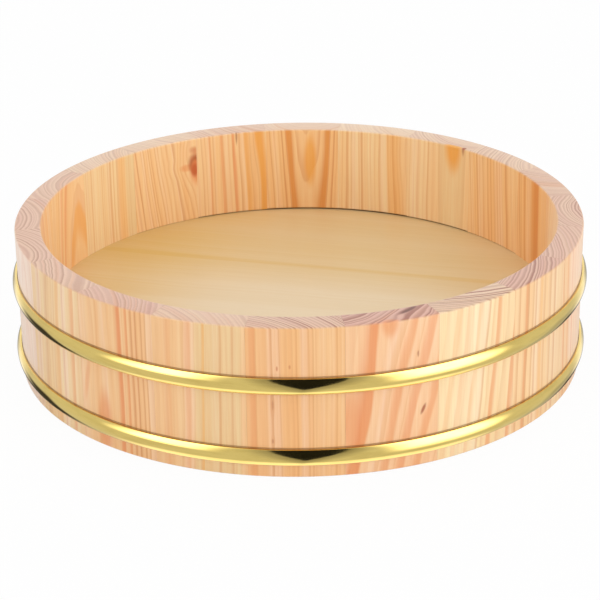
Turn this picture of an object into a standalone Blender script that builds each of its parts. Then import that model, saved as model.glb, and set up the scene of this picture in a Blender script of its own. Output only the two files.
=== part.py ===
"""Coopered sushi rice tub.

Upright staves stand in a ring, pegged edge to edge and clamped by two domed metal hoops. A round
board sits in a groove cut round the inside of the staves and closes the tub above its foot.
Lengths are in metres, +Z is up, the front is -Y, and the origin is the centre of the foot.
"""

import math

import bmesh
import bpy
from mathutils import Matrix

MM = 0.001

# Ring of staves
OUTER_RADIUS = 165.0 * MM
TUB_HEIGHT = 86.0 * MM
WALL_THICKNESS = 15.0 * MM
STAVE_EDGE_ROUND = 1.2 * MM
STAVE_COUNT = 20
FIRST_JOINT_FROM_FRONT = math.radians(8.0)

# Bottom board and the groove that holds it
FLOOR_HEIGHT = 31.0 * MM
BOARD_THICKNESS = 10.0 * MM
BOARD_EDGE_CHAMFER = 0.8 * MM
GROOVE_DEPTH = 5.0 * MM

# Hoops: a domed band rolled from sheet, with its two edges against the staves
HOOP_WIDTH = 9.4 * MM
HOOP_BULGE = 2.8 * MM
HOOP_SHEET = 0.8 * MM
UPPER_HOOP_BELOW_RIM = 32.8 * MM
LOWER_HOOP_ABOVE_FOOT = 12.0 * MM

# Bamboo pegs between neighbouring staves
PEG_DIAMETER = 5.0 * MM
PEG_LENGTH = 24.0 * MM
PEG_END_CHAMFER = 0.7 * MM

# Gap that every two touching pieces keep
FIT_GAP = 0.3 * MM

# Fineness of the round shapes
FACETS_PER_STAVE = 4
EDGE_ROUND_STEPS = 2
HOOP_DOME_STEPS = 8
PEG_SIDES = 12
CHAMFERED_ANGLE = math.radians(60.0)
SHARP_ANGLE = math.radians(35.0)

# Worked out from the sizes above
FRONT_ANGLE = math.radians(-90.0)
FULL_TURN = 2.0 * math.pi
STAVE_ANGLE = FULL_TURN / STAVE_COUNT
RING_FACETS = STAVE_COUNT * FACETS_PER_STAVE
INNER_RADIUS = OUTER_RADIUS - WALL_THICKNESS
MID_WALL_RADIUS = OUTER_RADIUS - WALL_THICKNESS / 2.0
PEG_HEIGHT = (FLOOR_HEIGHT + TUB_HEIGHT) / 2.0

# Finishes: colour, roughness, metallic
PINE = ("pine", (0.86, 0.60, 0.36, 1.0), 0.45, 0.0)
PLYWOOD = ("plywood", (0.80, 0.60, 0.36, 1.0), 0.30, 0.0)
BAMBOO = ("bamboo", (0.78, 0.62, 0.34, 1.0), 0.55, 0.0)
GILT_METAL = ("gilt_metal", (0.83, 0.68, 0.28, 1.0), 0.12, 1.0)


def new_collection(name):
    """Make a collection in the scene."""
    collection = bpy.data.collections.new(name)
    bpy.context.scene.collection.children.link(collection)
    return collection


def material(name, colour, roughness, metallic):
    """Return the named finish, made once."""
    finish = bpy.data.materials.get(name)
    if finish is None:
        finish = bpy.data.materials.new(name)
        finish.use_nodes = True
        shader = finish.node_tree.nodes["Principled BSDF"]
        shader.inputs["Base Color"].default_value = colour
        shader.inputs["Roughness"].default_value = roughness
        shader.inputs["Metallic"].default_value = metallic
    return finish


def smooth_mesh(name, bm):
    """Turn a bmesh into a mesh that is shaded smooth except at its sharp edges."""
    mesh = bpy.data.meshes.new(name)
    bm.to_mesh(mesh)
    bm.free()
    mesh.shade_smooth()
    mesh.set_sharp_from_angle(angle=SHARP_ANGLE)
    return mesh


def add_piece(name, mesh, finish, parent, collection):
    """Place a sub-part in the tub with its finish."""
    piece = bpy.data.objects.new(name, mesh)
    piece.parent = parent
    collection.objects.link(piece)
    if not mesh.materials:
        mesh.materials.append(material(*finish))
    return piece


def joint_angle(joint):
    """Angle about the tub's axis of a joint between staves, counted from the front."""
    return FRONT_ANGLE + FIRST_JOINT_FROM_FRONT + joint * STAVE_ANGLE


def arc(centre_radius, centre_height, radius, start, end, steps):
    """Points on a circular arc in the plane of radius and height, angles in radians."""
    angles = [start + (end - start) * step / steps for step in range(steps + 1)]
    return [(centre_radius + radius * math.cos(a), centre_height + radius * math.sin(a)) for a in angles]


def stave_section():
    """Outline of a stave cut by a plane through the axis: down outside, under, up inside."""
    quarter = math.pi / 2.0
    outer_centre = OUTER_RADIUS - STAVE_EDGE_ROUND
    inner_centre = INNER_RADIUS + STAVE_EDGE_ROUND
    top_centre = TUB_HEIGHT - STAVE_EDGE_ROUND
    groove_radius = INNER_RADIUS + GROOVE_DEPTH
    groove_top = FLOOR_HEIGHT + FIT_GAP
    groove_bottom = FLOOR_HEIGHT - BOARD_THICKNESS - FIT_GAP

    def rounded(centre_radius, centre_height, quarters):
        start = quarters * quarter
        return arc(centre_radius, centre_height, STAVE_EDGE_ROUND, start, start - quarter, EDGE_ROUND_STEPS)

    outline = rounded(outer_centre, top_centre, 1)
    outline += rounded(outer_centre, STAVE_EDGE_ROUND, 0)
    outline += rounded(inner_centre, STAVE_EDGE_ROUND, -1)
    outline += [(INNER_RADIUS, groove_bottom), (groove_radius, groove_bottom)]
    outline += [(groove_radius, groove_top), (INNER_RADIUS, groove_top)]
    outline += rounded(inner_centre, top_centre, 2)
    return outline


def make_stave_mesh():
    """Sweep the stave's section about the axis through one stave's share of the ring."""
    gap_angle = FIT_GAP / INNER_RADIUS
    bm = bmesh.new()
    corners = [bm.verts.new((radius, 0.0, height)) for radius, height in stave_section()]
    section = bm.faces.new(corners)
    start = Matrix.Rotation(gap_angle / 2.0, 3, "Z")
    bmesh.ops.rotate(bm, verts=corners, cent=(0.0, 0.0, 0.0), matrix=start)
    bmesh.ops.spin(
        bm,
        geom=[*corners, *section.edges, section],
        cent=(0.0, 0.0, 0.0),
        axis=(0.0, 0.0, 1.0),
        angle=STAVE_ANGLE - gap_angle,
        steps=FACETS_PER_STAVE,
    )
    bmesh.ops.recalc_face_normals(bm, faces=bm.faces)
    return smooth_mesh("stave", bm)


def make_rod_mesh(name, diameter, length, sides):
    """A plain round rod along Z, centred on its own origin."""
    bm = bmesh.new()
    bmesh.ops.create_cone(
        bm,
        cap_ends=True,
        segments=sides,
        radius1=diameter / 2.0,
        radius2=diameter / 2.0,
        depth=length,
    )
    return smooth_mesh(name, bm)


def lay_across_joint(rod, joint):
    """Lay a rod square across a stave joint, in the middle of the wall."""
    angle = joint_angle(joint)
    rod.location = (MID_WALL_RADIUS * math.cos(angle), MID_WALL_RADIUS * math.sin(angle), PEG_HEIGHT)
    rod.rotation_euler = (math.pi / 2.0, 0.0, angle)


def chamfer(piece, width):
    """Break a piece's square edges."""
    bevel = piece.modifiers.new("chamfer", "BEVEL")
    bevel.width = width
    bevel.segments = 1
    bevel.limit_method = "ANGLE"
    bevel.angle_limit = CHAMFERED_ANGLE


def cut(piece, cutter):
    """Cut a cutter's shape out of a piece."""
    boolean = piece.modifiers.new(cutter.name, "BOOLEAN")
    boolean.operation = "DIFFERENCE"
    boolean.object = cutter


def add_staves(parent, collection):
    """Stand the staves round the axis, each from its own joint to the next."""
    mesh = make_stave_mesh()
    staves = []
    for index in range(STAVE_COUNT):
        stave = add_piece(f"stave_{index + 1:02d}", mesh, PINE, parent, collection)
        stave.rotation_euler = (0.0, 0.0, joint_angle(index))
        staves.append(stave)
    return staves


def add_pegs(staves, parent, collection, cutters):
    """Peg each joint: one bamboo peg, and its hole drilled into both neighbouring staves."""
    peg_mesh = make_rod_mesh("peg", PEG_DIAMETER, PEG_LENGTH, PEG_SIDES)
    hole_mesh = make_rod_mesh(
        "peg_hole",
        PEG_DIAMETER + 2.0 * FIT_GAP,
        PEG_LENGTH + 2.0 * FIT_GAP,
        PEG_SIDES,
    )
    for joint, stave in enumerate(staves):
        peg = add_piece(f"peg_{joint + 1:02d}", peg_mesh, BAMBOO, parent, collection)
        lay_across_joint(peg, joint)
        chamfer(peg, PEG_END_CHAMFER)
        hole = bpy.data.objects.new(f"peg_hole_{joint + 1:02d}", hole_mesh)
        cutters.objects.link(hole)
        hole.hide_render = True
        hole.display_type = "WIRE"
        lay_across_joint(hole, joint)
        cut(stave, hole)
        cut(staves[joint - 1], hole)


def add_bottom_board(parent, collection):
    """Fit the round board into the staves' groove."""
    radius = INNER_RADIUS + GROOVE_DEPTH - FIT_GAP
    mesh = make_rod_mesh("bottom_board", 2.0 * radius, BOARD_THICKNESS, RING_FACETS)
    board = add_piece("bottom_board", mesh, PLYWOOD, parent, collection)
    board.location.z = FLOOR_HEIGHT - BOARD_THICKNESS / 2.0
    board.rotation_euler.z = joint_angle(0)
    chamfer(board, BOARD_EDGE_CHAMFER)


def hoop_section():
    """Outline of the hoop's sheet: down the outside of the dome, back up its inside.

    Both faces are arcs about one centre. The outer arc's chord is the hoop's width and its rise
    the bulge, and both arcs end on the seat line just off the staves.
    """
    seat = OUTER_RADIUS + FIT_GAP
    half = HOOP_WIDTH / 2.0
    dome_radius = (half * half + HOOP_BULGE * HOOP_BULGE) / (2.0 * HOOP_BULGE)
    inside_radius = dome_radius - HOOP_SHEET
    centre = seat + HOOP_BULGE - dome_radius
    outer_end = math.atan2(half, seat - centre)
    inner_end = math.acos((seat - centre) / inside_radius)
    outside = arc(centre, 0.0, dome_radius, outer_end, -outer_end, HOOP_DOME_STEPS)
    inside = arc(centre, 0.0, inside_radius, -inner_end, inner_end, HOOP_DOME_STEPS)
    return outside + inside


def make_hoop_mesh():
    """The hoop's section as a closed loop of edges, ready to be turned about the axis."""
    bm = bmesh.new()
    points = [bm.verts.new((radius, 0.0, height)) for radius, height in hoop_section()]
    for start, end in zip(points, points[1:] + points[:1]):
        bm.edges.new((start, end))
    return smooth_mesh("hoop", bm)


def add_hoops(parent, collection):
    """Drive the two hoops on to the staves, each turned in one piece with no open seam."""
    mesh = make_hoop_mesh()
    heights = {
        "upper_hoop": TUB_HEIGHT - UPPER_HOOP_BELOW_RIM,
        "lower_hoop": LOWER_HOOP_ABOVE_FOOT,
    }
    for name, height in heights.items():
        hoop = add_piece(name, mesh, GILT_METAL, parent, collection)
        hoop.location.z = height
        hoop.rotation_euler.z = joint_angle(0)
        turn = hoop.modifiers.new("turn", "SCREW")
        turn.axis = "Z"
        turn.angle = FULL_TURN
        turn.steps = RING_FACETS
        turn.render_steps = RING_FACETS
        turn.use_smooth_shade = True


def main():
    for old in list(bpy.data.objects):
        bpy.data.objects.remove(old, do_unlink=True)
    collection = new_collection("sushi_rice_tub")
    cutters = new_collection("cutters")
    tub = bpy.data.objects.new("rice_tub", None)
    collection.objects.link(tub)
    staves = add_staves(tub, collection)
    add_pegs(staves, tub, collection, cutters)
    add_bottom_board(tub, collection)
    add_hoops(tub, collection)


main()
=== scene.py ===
"""Dress the sushi rice tub: pine staves, bamboo pegs, lacquered bottom board, gilt hoops and a studio.

Lengths are metres in the tub's own frame: +Z up its axis, -Y its front, the origin at its foot.
The wood patterns are worked out in millimetres inside each board, so faces and end grain agree.
"""

import math
from typing import NamedTuple

import bmesh
import bpy
import numpy as np
from bpy.props import FloatProperty, FloatVectorProperty, PointerProperty
from mathutils import Color, Matrix, Vector


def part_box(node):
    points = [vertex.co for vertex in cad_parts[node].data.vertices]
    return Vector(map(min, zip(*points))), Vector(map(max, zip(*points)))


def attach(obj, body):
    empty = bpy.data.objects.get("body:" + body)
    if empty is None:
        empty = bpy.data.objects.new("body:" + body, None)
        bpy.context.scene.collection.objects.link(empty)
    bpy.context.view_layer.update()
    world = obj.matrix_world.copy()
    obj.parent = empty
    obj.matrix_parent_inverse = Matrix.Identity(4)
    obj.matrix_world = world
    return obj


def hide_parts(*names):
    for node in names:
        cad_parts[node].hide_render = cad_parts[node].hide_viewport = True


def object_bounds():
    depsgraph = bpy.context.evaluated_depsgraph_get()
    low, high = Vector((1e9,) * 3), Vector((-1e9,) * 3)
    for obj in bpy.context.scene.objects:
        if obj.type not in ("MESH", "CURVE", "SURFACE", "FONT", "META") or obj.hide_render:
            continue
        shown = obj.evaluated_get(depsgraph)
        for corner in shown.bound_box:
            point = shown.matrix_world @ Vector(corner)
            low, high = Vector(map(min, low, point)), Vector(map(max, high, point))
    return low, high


bl_info = {
    "name": "Sushi rice tub",
    "version": (1, 0, 0),
    "blender": (4, 5, 0),
    "location": "3D View > Sidebar > Rice tub",
    "description": "Builds a coopered rice tub's staves, pegs, board and hoops, and a studio round it",
    "category": "Object",
}

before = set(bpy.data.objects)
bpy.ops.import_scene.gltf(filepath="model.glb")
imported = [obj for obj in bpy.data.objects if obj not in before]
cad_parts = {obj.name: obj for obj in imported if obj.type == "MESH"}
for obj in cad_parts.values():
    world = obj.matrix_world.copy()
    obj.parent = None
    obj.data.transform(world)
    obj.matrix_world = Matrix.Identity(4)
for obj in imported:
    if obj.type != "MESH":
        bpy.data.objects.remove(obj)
cad_low, cad_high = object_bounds()

MM = 0.001
PER_MM = 1000.0
FULL_TURN = 2.0 * math.pi
STAVE_NODES = sorted(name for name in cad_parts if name.startswith("stave_"))
PEG_NODES = sorted(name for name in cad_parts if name.startswith("peg_"))
HOOP_NODES = ("upper_hoop", "lower_hoop")
BOARD_NODE = "bottom_board"


def node_points(node):
    """Every corner of a CAD node, as an array of points."""
    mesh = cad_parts[node].data
    flat = np.empty(3 * len(mesh.vertices))
    mesh.vertices.foreach_get("co", flat)
    return flat.reshape(-1, 3)


def node_radii(node):
    """A CAD node's least and greatest distance from the tub's axis."""
    points = node_points(node)
    radii = np.hypot(points[:, 0], points[:, 1])
    return float(radii.min()), float(radii.max())


def node_heights(node):
    """A CAD node's lowest and highest level."""
    low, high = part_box(node)
    return low.z, high.z


def node_bearing(node):
    """Angle about the tub's axis of the middle of a CAD node that spans less than half a turn."""
    points = node_points(node)
    about = math.atan2(points[:, 1].mean(), points[:, 0].mean())
    angles = np.arctan2(points[:, 1], points[:, 0]) - about
    angles = (angles + math.pi) % FULL_TURN - math.pi
    return about + float(angles.min() + angles.max()) / 2.0


INNER_RADIUS, OUTER_RADIUS = node_radii(STAVE_NODES[0])
TUB_FOOT, TUB_RIM = node_heights(STAVE_NODES[0])
BOARD_UNDER, BOARD_TOP = node_heights(BOARD_NODE)
BOARD_RADIUS = node_radii(BOARD_NODE)[1]
HOOP_SEAT, HOOP_CROWN = node_radii(HOOP_NODES[0])
HOOP_LOW, HOOP_HIGH = node_heights(HOOP_NODES[0])
PEG_LOW, PEG_HIGH = node_heights(PEG_NODES[0])
STAVE_ANGLE = FULL_TURN / len(STAVE_NODES)


def length_property(name, description, default):
    """A length that a user may change, in metres."""
    return FloatProperty(name=name, description=description, default=default, unit="LENGTH", precision=5)


def colour_property(name, description, *levels):
    """A colour as it looks in a picture, given by its three levels out of 255."""
    default = [level / 255.0 for level in levels]
    return FloatVectorProperty(
        name=name, description=description, default=default, subtype="COLOR_GAMMA", min=0.0, max=1.0
    )


def angle_property(name, description, degrees):
    """An angle that a user may change, given in degrees."""
    return FloatProperty(name=name, description=description, default=math.radians(degrees), subtype="ANGLE")


def glow_property(name, description, default):
    """A radiance that a user may change, where 1 is white."""
    return FloatProperty(name=name, description=description, default=default)


class TubSizes(bpy.types.PropertyGroup):
    """Sizes of the tub's pieces."""

    outer_radius: length_property("Outer radius", "Outside of the staves", OUTER_RADIUS)
    inner_radius: length_property("Inner radius", "Inside of the staves", INNER_RADIUS)
    foot: length_property("Foot", "Level of the staves' lower ends", TUB_FOOT)
    rim: length_property("Rim", "Level of the staves' upper ends", TUB_RIM)
    edge_round: length_property("Edge round", "Rounding of the staves' upper edges", 1.0 * MM)
    foot_round: length_property("Foot round", "Rounding of the staves' lower edges", 0.4 * MM)
    joint_gap: length_property("Joint gap", "Open line between neighbouring staves", 0.06 * MM)
    board_under: length_property("Board underside", "Level of the board's underside", BOARD_UNDER)
    board_top: length_property("Board top", "Level of the board's top", BOARD_TOP)
    board_radius: length_property("Board radius", "Radius of the bottom board", BOARD_RADIUS)
    board_round: length_property("Board edge", "Rounding of the board's edge", 0.8 * MM)
    fit: length_property("Fit", "Gap between pieces that touch", 0.3 * MM)
    groove_gap: length_property("Groove gap", "Open line above the board at the back", 0.75 * MM)
    hoop_seat: length_property("Hoop seat", "Radius of the hoops' back", HOOP_SEAT)
    hoop_bulge: length_property("Hoop bulge", "Rise of the hoops' dome", HOOP_CROWN - HOOP_SEAT)
    hoop_width: length_property("Hoop width", "Height of a hoop's band", HOOP_HIGH - HOOP_LOW)
    hoop_edge: length_property("Hoop edge", "Depth of the hoops' straight edges", 1.0 * MM)
    hoop_sheet: length_property("Hoop sheet", "Thickness of the hoops' metal", 0.7 * MM)
    peg_diameter: length_property("Peg diameter", "Thickness of a peg", PEG_HIGH - PEG_LOW)
    peg_length: length_property("Peg length", "Length of a peg", 24.0 * MM)


class TubColours(bpy.types.PropertyGroup):
    """Colours of the tub's wood and metal."""

    pale_pine: colour_property("Pale pine", "Early wood of the palest staves", 252, 232, 186)
    warm_pine: colour_property("Warm pine", "Early wood of the warmest staves", 246, 190, 130)
    # Pinkish early wood; also laid broad and strong on staves 4 and 16 as a painted sheen that whitens the
    # wood towards the tub's left and right silhouettes.
    blush_and_edge_sheen: colour_property("Blush", "Pinkish bands of early wood", 254, 231, 211)
    straw: colour_property("Straw", "Greyish yellow bands of early wood", 238, 212, 160)
    honey: colour_property("Honey", "Yellow bands of early wood", 244, 176, 78)
    russet: colour_property("Russet", "Deep bands of wide late wood", 224, 140, 46)
    late_wood: colour_property("Late wood", "Dark line that ends each year's growth", 216, 138, 70)
    amber: colour_property("Amber", "Resin-rich streaks", 236, 150, 88)
    end_pale: colour_property("Pale ends", "Cut ends of the palest staves", 235, 207, 174)
    end_warm: colour_property("Warm ends", "Cut ends of the warmest staves", 217, 171, 152)
    end_ring: colour_property("End rings", "Year lines on the cut ends", 168, 111, 91)
    knot: colour_property("Knot", "Bark ring of a knot", 166, 80, 34)
    rust: colour_property("Rust", "Heart of a knot", 198, 92, 40)
    resin: colour_property("Resin", "Dark resin pockets", 104, 50, 26)
    # Painted shade: the colour of the contact shadow along the hoops' upper edges and of the shade in and
    # above the board's groove.
    painted_shade: colour_property("Grime", "Dark line along the hoops' upper edges and the board", 132, 84, 34)
    veneer: colour_property("Veneer", "Face of the bottom board", 230, 209, 172)
    veneer_line: colour_property("Veneer line", "Grain lines of the bottom board", 217, 182, 106)
    bamboo: colour_property("Bamboo", "Flesh of the pegs", 216, 184, 122)
    bamboo_fibre: colour_property("Bamboo fibre", "Dark fibres of the pegs", 164, 122, 66)
    gilt: colour_property("Gilt", "Polished hoop metal", 251, 222, 130)


class StudioSettings(bpy.types.PropertyGroup):
    """Camera and light of the studio."""

    camera_distance: length_property("Camera distance", "From the middle of the rim", 1.1953)
    camera_height: angle_property("Camera elevation", "Camera above the rim", 21.0)
    camera_tilt: angle_property("Camera tilt", "Extra downward tilt", 2.46)
    camera_roll: angle_property("Camera roll", "Turn about the view axis", -0.70)
    camera_lens: FloatProperty(name="Lens", description="Focal length in millimetres", default=122.68)
    room_glow: glow_property("Room glow", "Radiance of the room's pale walls", 0.62)
    back_glow: glow_property("Back glow", "Radiance of the back wall", 1.12)
    left_glow: glow_property("Left glow", "Extra radiance of the left patch", 1.5)
    right_glow: glow_property("Right glow", "Extra radiance of the right patch", 2.5)
    mirror_base: glow_property("Mirror base", "Radiance of the room in metal", 0.67)
    mirror_glow: glow_property("Mirror glow", "Extra radiance of both soft boxes in metal", 2.6)
    overhead_glow: glow_property("Overhead glow", "Radiance of the overhead lamp", 1.0)
    front_glow: glow_property("Front glow", "Radiance of the front lamp", 0.20)


class Timber(NamedTuple):
    """How a stave was sawn from its log: lengths in millimetres, the rest shares.

    The pith is given from the middle of the board, and leans along the wall as it rises. Taper is
    how much wider the rings look per millimetre of height, and wave how far the grain sways.
    """

    pith_out: float
    pith_along: float
    ring: float
    taper: float
    lean: float
    wave: float
    warmth: float
    contrast: float
    gold: float = 0.0
    ends: float = 0.5
    # rosy is the share of the warm end colour on the cut ends. It is set higher on the front staves and
    # lower on the back ones, so the rim is darker and warmer towards the front: painted shade on top of
    # real differences between staves.
    rosy: float = 0.5


class Mark(NamedTuple):
    """A streak, knot or pocket inside a stave: an ellipsoid, lengths in millimetres, turns in degrees."""

    stave: int
    kind: str
    out: float
    along: float
    up: float
    half_out: float
    half_along: float
    half_up: float
    strength: float
    lean: float = 0.0
    turn: float = 0.0


class Line(NamedTuple):
    """A bold line or band that follows the grain: where a face meets it, in degrees from the front."""

    face: str
    stave: int
    bearing: float
    half_width: float
    kind: str
    strength: float


TIMBERS = (
    Timber(-33.0, -45.0, 3.4, 0.00, 0.20, 2.0, 0.80, 0.28, ends=1.45, rosy=1.0),
    Timber(-110.0, 40.0, 2.4, 0.00, 0.08, 1.4, 0.00, 0.25, ends=1.5, rosy=0.1),
    Timber(-100.0, -45.0, 2.0, 0.00, 0.01, 1.0, 0.34, 0.65, ends=1.3, rosy=0.8),
    Timber(-100.0, -40.0, 2.0, 0.02, 0.00, 1.2, 0.68, 0.40, ends=0.8, rosy=0.65),
    Timber(40.0, 3.0, 1.9, 0.06, 0.01, 1.6, 0.50, 0.60, ends=1.0, rosy=0.55),
    Timber(30.0, 48.0, 1.7, 0.02, 0.02, 1.4, 0.50, 0.60, gold=0.40, ends=0.7, rosy=0.45),
    Timber(30.0, -52.0, 2.4, 0.00, 0.07, 1.6, 0.36, 0.75, gold=0.28, ends=0.6, rosy=0.3),
    Timber(28.0, -12.0, 2.2, 0.00, 0.00, 1.0, 0.08, 0.50, gold=0.12, ends=0.6, rosy=0.25),
    Timber(30.0, -45.0, 2.1, 0.00, 0.01, 2.2, 0.06, 0.60, gold=0.18, ends=0.3, rosy=0.05),
    Timber(12.5, -5.2, 2.0, -0.03, 0.00, 1.6, 0.32, 0.75, gold=0.26, ends=0.3, rosy=0.25),
    Timber(40.0, -80.0, 3.0, 0.00, 0.02, 2.0, 0.30, 0.55, gold=0.16, ends=0.5, rosy=0.4),
    Timber(22.0, -68.0, 2.6, 0.00, 0.13, 2.0, 0.28, 0.75, gold=0.16, ends=0.5, rosy=0.15),
    Timber(-24.0, -42.0, 2.2, 0.00, 0.00, 1.0, 0.06, 0.50, gold=0.06, ends=0.5, rosy=0.2),
    Timber(-34.0, -14.4, 3.0, 0.08, 0.00, 1.6, 0.34, 0.55, gold=0.20, ends=0.6, rosy=0.5),
    Timber(42.0, 12.0, 2.3, 0.04, 0.01, 1.4, 0.38, 0.55, gold=0.25, ends=0.75, rosy=0.6),
    Timber(40.0, 10.0, 2.3, 0.03, 0.00, 1.4, 0.00, 0.35, ends=0.8, rosy=0.6),
    Timber(139.0, -80.0, 3.2, 0.00, 0.03, 1.6, 0.28, 0.40, ends=0.9, rosy=0.5),
    Timber(60.0, -60.0, 2.4, 0.00, 0.00, 1.2, 0.68, 0.24, ends=0.55, rosy=0.75),
    Timber(60.0, -60.0, 2.6, 0.00, 0.02, 1.2, 0.60, 0.22, ends=0.5, rosy=0.40),
    Timber(45.0, -45.0, 2.0, 0.00, 0.00, 1.0, 0.74, 0.50, ends=1.35, rosy=0.50),
)

MARKS = (
    Mark(1, "knot", 7.5, 17.0, 33.0, 3.0, 1.4, 4.6, 0.85, lean=-24.0),
    Mark(1, "knot", 7.5, 13.6, 65.4, 2.0, 0.8, 2.6, 0.55),
    Mark(1, "end_ring", -3.6, 11.0, 86.0, 2.6, 10.5, 5.0, 0.75, turn=28.0),
    Mark(1, "resin", -4.0, 12.0, 86.0, 2.2, 9.0, 4.0, 0.90, turn=29.0),
    Mark(1, "amber", 7.5, -2.0, 86.0, 4.0, 6.5, 12.0, 0.60),
    Mark(1, "amber", 7.5, -24.0, 30.0, 4.0, 10.0, 32.0, 0.60),
    Mark(8, "honey", -7.5, -11.0, 87.0, 2.4, 9.0, 25.0, 0.95),
    Mark(8, "knot", -7.5, -18.6, 86.0, 2.0, 2.0, 8.0, 0.90),
    Mark(10, "honey", -7.5, -5.2, 65.0, 4.0, 5.2, 23.0, 0.80),
    Mark(11, "knot", -7.5, -4.0, 85.0, 1.5, 1.0, 9.0, 0.60),
    Mark(12, "amber", -7.5, -23.0, 66.0, 7.0, 6.6, 15.0, 0.80),
    Mark(12, "amber", -7.5, -17.2, 67.0, 4.0, 7.8, 3.4, 0.55),
    Mark(12, "knot", -7.5, -22.8, 69.0, 6.0, 6.6, 9.6, 0.90),
    Mark(12, "amber", -7.5, -22.8, 67.0, 6.0, 4.6, 7.2, 0.80),
    Mark(12, "rust", -7.5, -21.8, 65.0, 6.0, 3.2, 6.8, 0.85),
    Mark(12, "rust", -7.5, -22.4, 78.4, 3.0, 5.4, 4.2, 0.65),
    Mark(18, "amber", 7.5, -8.6, 14.0, 4.0, 7.0, 26.0, 0.65),
    Mark(20, "rust", 7.5, -9.5, 63.0, 2.0, 0.7, 2.0, 0.55),
    Mark(20, "rust", 7.5, -2.9, 64.0, 2.0, 0.8, 1.6, 0.40),
    Mark(20, "knot", 7.5, -12.0, 42.0, 2.0, 0.8, 4.0, 0.30),
    Mark(20, "knot", 7.5, -12.2, 21.0, 2.0, 0.7, 2.0, 0.40),
    Mark(18, "amber", 7.5, -21.5, 36.0, 4.0, 2.6, 22.0, 0.40, lean=-11.0),
)

# Bold lines by stave, bearing, half width in millimetres, kind and strength.
OUTSIDE_LINES = (
    (1, 10.9, 6.0, "amber", 0.80),
    (1, 17.0, 60.0, "blush_and_edge_sheen", 0.22),
    (1, 17.8, 3.4, "amber", 0.50),
    (1, 21.5, 3.0, "amber", 0.58),
    (1, 24.9, 2.8, "amber", 0.55),
    (2, 28.6, 1.8, "warm_pine", 0.40),
    (2, 31.0, 1.8, "warm_pine", 0.30),
    (2, 33.6, 1.6, "warm_pine", 0.35),
    (2, 36.0, 0.9, "late_wood", 0.35),
    (2, 38.8, 2.4, "amber", 0.60),
    (2, 43.6, 3.0, "amber", 0.60),
    (3, 47.1, 1.6, "amber", 0.40),
    (3, 50.2, 1.0, "late_wood", 0.30),
    (3, 52.2, 2.4, "honey", 0.40),
    (3, 57.6, 1.2, "late_wood", 0.35),
    # Painted sheen: a broad pale band that whitens stave 4 towards the right silhouette.
    (4, 75.0, 22.0, "blush_and_edge_sheen", 0.35),
    (4, 62.8, 1.2, "amber", 0.70),
    (4, 65.4, 1.2, "amber", 0.60),
    (4, 68.6, 1.4, "amber", 0.45),
    # Painted sheen: a full-strength pale band that whitens stave 16 towards the left silhouette.
    (16, -73.0, 40.0, "blush_and_edge_sheen", 1.00),
    (17, -61.6, 3.0, "blush_and_edge_sheen", 0.50),
    (17, -58.0, 2.0, "late_wood", 0.35),
    (17, -53.3, 3.0, "honey", 0.45),
    (17, -50.9, 2.4, "blush_and_edge_sheen", 0.50),
    (17, -48.4, 2.0, "amber", 0.50),
    (18, -35.9, 2.2, "amber", 0.85),
    (18, -33.9, 1.2, "amber", 0.60),
    (18, -32.7, 1.0, "late_wood", 0.60),
    (18, -31.6, 0.8, "late_wood", 0.65),
    (18, -30.4, 0.7, "late_wood", 0.50),
    (18, -29.5, 0.6, "late_wood", 0.40),
    (19, -25.2, 2.4, "amber", 0.25),
    (19, -21.2, 2.4, "amber", 0.35),
    (19, -15.1, 14.6, "straw", 0.65),
    (19, -18.2, 0.9, "honey", 0.50),
    (19, -15.0, 0.9, "late_wood", 0.40),
    (19, -12.6, 0.8, "late_wood", 0.35),
    (20, -9.0, 2.0, "amber", 0.40),
    (20, -5.4, 0.8, "late_wood", 0.40),
)
INSIDE_LINES = (
    (6, 107.0, 7.0, "russet", 0.95),
    (6, 112.2, 1.4, "russet", 0.60),
    (6, 114.4, 0.9, "late_wood", 0.50),
    (8, 138.6, 9.0, "straw", 0.50),
    (9, 155.0, 7.0, "honey", 0.38),
    (9, 163.8, 0.9, "late_wood", 0.45),
    (10, 181.2, 3.0, "russet", 0.50),
    (10, 173.0, 2.6, "russet", 0.50),
    (10, 183.3, 0.7, "late_wood", 0.55),
    (11, 188.9, 3.2, "honey", 0.85),
    (11, 192.3, 2.2, "honey", 0.60),
    (11, 195.6, 1.3, "amber", 0.65),
    (11, 198.7, 1.4, "amber", 0.50),
    (11, 202.0, 1.2, "amber", 0.40),
    (13, 233.0, 40.0, "straw", 0.30),
    (13, 225.0, 5.0, "straw", 0.60),
    (13, 227.8, 4.4, "honey", 0.45),
    (13, 231.8, 0.7, "late_wood", 0.40),
    (14, 245.6, 5.0, "honey", 0.62),
    (14, 251.6, 1.6, "amber", 0.55),
    (14, 253.8, 1.4, "amber", 0.45),
    (15, 264.2, 3.6, "honey", 0.50),
    (15, 267.6, 1.6, "amber", 0.40),
)
LINES = [Line("outside", *row) for row in OUTSIDE_LINES]
LINES += [Line("inside", *row) for row in INSIDE_LINES]

# Sockets of the colour mix, which share their names with sockets for numbers.
MIX_INPUTS = (0, 6, 7)
MIX_OUTPUT = 2

# Bands that lie under the year lines; all other lines lie over them.
BASE_BANDS = ("straw", "blush_and_edge_sheen")
SEED_STEP = 3.7
LEAST_SLOPE = 0.2
# How strongly the grain parts round a mark, and how many times the mark's own size that reaches.
KNOT_BEND = 0.75
STREAK_BEND = 0.30
BEND_REACH = 2.6
# How dark the painted shade lines are, and where they fade in or out, in a stave's millimetres: a contact
# shadow above each hoop, shade deep in the board's groove and on the lip just above the board.
HOOP_LINE_SHADE = 0.65
HOOP_LINE_LIFT = 0.2
HOOP_LINE_FADE = (0.1, 0.55)
GROOVE_SHADE = 0.85
OUTER_PART = (4.0, 5.0)
ABOVE_FOOT = (4.0, 6.0)
LIP_SHADE = 0.7
LIP_HEIGHT = 0.6
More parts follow.
